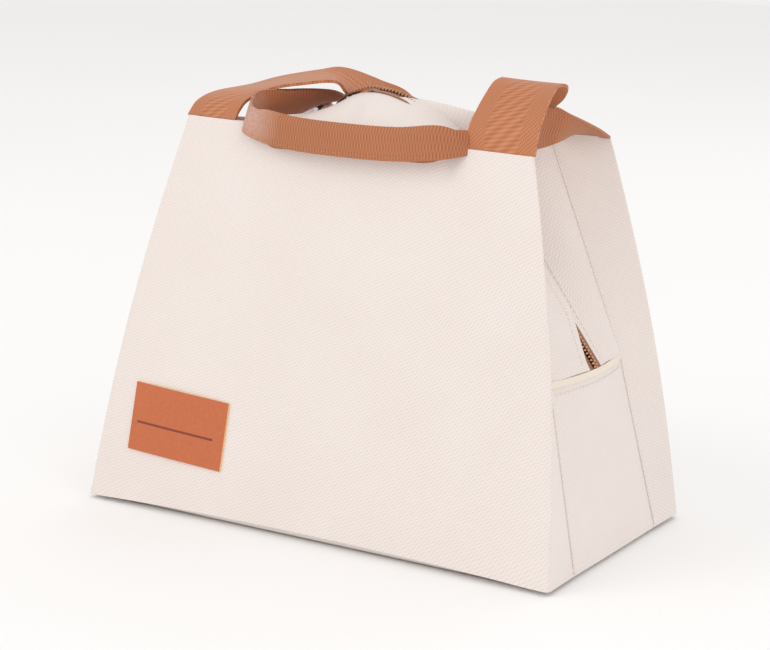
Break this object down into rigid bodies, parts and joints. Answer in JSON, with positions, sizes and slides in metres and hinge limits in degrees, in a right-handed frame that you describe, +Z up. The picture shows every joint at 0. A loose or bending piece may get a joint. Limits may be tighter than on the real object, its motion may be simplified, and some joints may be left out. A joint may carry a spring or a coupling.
{
  "type": "lunch bag",
  "caption": "Soft insulated lunch bag: trapezoid padded body, zip over a rounded crown, two crossed webbing handles, small leather patch.",
  "frame": {"origin": "middle of the bottom panel, on the surface it stands on", "axes": "+X to the right along the width, -Y out of the front panel that carries the patch, +Z up"},
  "size_m": [0.28, 0.162, 0.247],
  "materials": {
    "outer_cloth": "cream polyester canvas, plain weave, matt",
    "webbing": "tan herringbone webbing with a soft sheen",
    "leather_patch": "tan synthetic leather, lightly embossed",
    "zip_tape": "brown woven tape",
    "zip_teeth": "coppery brown coil",
    "zip_metal": "antique copper plate",
    "binding_tape": "tan folded tape",
    "foam": "white closed-cell foam",
    "lining_film": "silver coated film"
  },
  "bodies": {
    "bag": {"front_panel": "outer_cloth", "back_panel": "outer_cloth", "bottom_panel": "outer_cloth", "left_side_panel": "outer_cloth", "right_side_panel": "outer_cloth", "left_hem_binding": "binding_tape", "right_hem_binding": "binding_tape", "front_foam": "foam", "back_foam": "foam", "bottom_foam": "foam", "left_side_foam": "foam", "right_side_foam": "foam", "front_lining": "lining_film", "back_lining": "lining_film", "bottom_lining": "lining_film", "left_side_lining": "lining_film", "right_side_lining": "lining_film", "front_strip_left": "outer_cloth", "front_strip_right": "outer_cloth", "back_strip_left": "outer_cloth", "back_strip_right": "outer_cloth", "front_strip_foam_left": "foam", "front_strip_foam_right": "foam", "back_strip_foam_left": "foam", "back_strip_foam_right": "foam", "front_strip_lining_left": "lining_film", "front_strip_lining_right": "lining_film", "back_strip_lining_left": "lining_film", "back_strip_lining_right": "lining_film", "front_tape_left": "zip_tape", "front_tape_right": "zip_tape", "back_tape_left": "zip_tape", "back_tape_right": "zip_tape", "front_teeth_left": "zip_teeth", "front_teeth_right": "zip_teeth", "back_teeth_left": "zip_teeth", "back_teeth_right": "zip_teeth", "left_zip_stop": "zip_metal", "right_zip_stop": "zip_metal", "label_patch": "leather_patch"},
    "front_crown": {"front_strip_top": "outer_cloth", "front_strip_foam_top": "foam", "front_strip_lining_top": "lining_film", "front_tape_top": "zip_tape", "front_teeth_top": "zip_teeth"},
    "back_crown": {"back_strip_top": "outer_cloth", "back_strip_foam_top": "foam", "back_strip_lining_top": "lining_film", "back_tape_top": "zip_tape", "back_teeth_top": "zip_teeth"},
    "front_handle": {"front_handle": "webbing"},
    "back_handle": {"back_handle": "webbing"},
    "slider": {"slider_body": "zip_metal"},
    "pull_tab": {"pull_tab": "zip_metal"}
  },
  "joints": [
    {"name": "front_handle_lift", "type": "hinge", "parent": "bag", "child": "front_handle", "pos_m": [0, -0.0435, 0.2116], "axis": [1, 0, 0], "range_deg": [0, 58]},
    {"name": "back_handle_lift", "type": "hinge", "parent": "bag", "child": "back_handle", "pos_m": [0, 0.0435, 0.2116], "axis": [-1, 0, 0], "range_deg": [0, 58]},
    {"name": "zip_slider_run", "type": "slide", "parent": "bag", "child": "slider", "axis": [0.6154, 0, 0.7882], "range_m": [0, 0.122]},
    {"name": "pull_tab_flip", "type": "hinge", "parent": "slider", "child": "pull_tab", "pos_m": [-0.11808, 0, 0.11017], "axis": [0, 1, 0], "range_deg": [0, 165]},
    {"name": "front_crown_fold", "type": "hinge", "parent": "bag", "child": "front_crown", "pos_m": [0, -0.0404, 0.2068], "axis": [-1, 0, 0], "range_deg": [0, 75]},
    {"name": "back_crown_fold", "type": "hinge", "parent": "bag", "child": "back_crown", "pos_m": [0, 0.0404, 0.2068], "axis": [1, 0, 0], "range_deg": [0, 75]}
  ],
  "couplings": [
    {"joint": "back_handle_lift", "follows": "front_handle_lift", "ratio": 1}
  ]
}
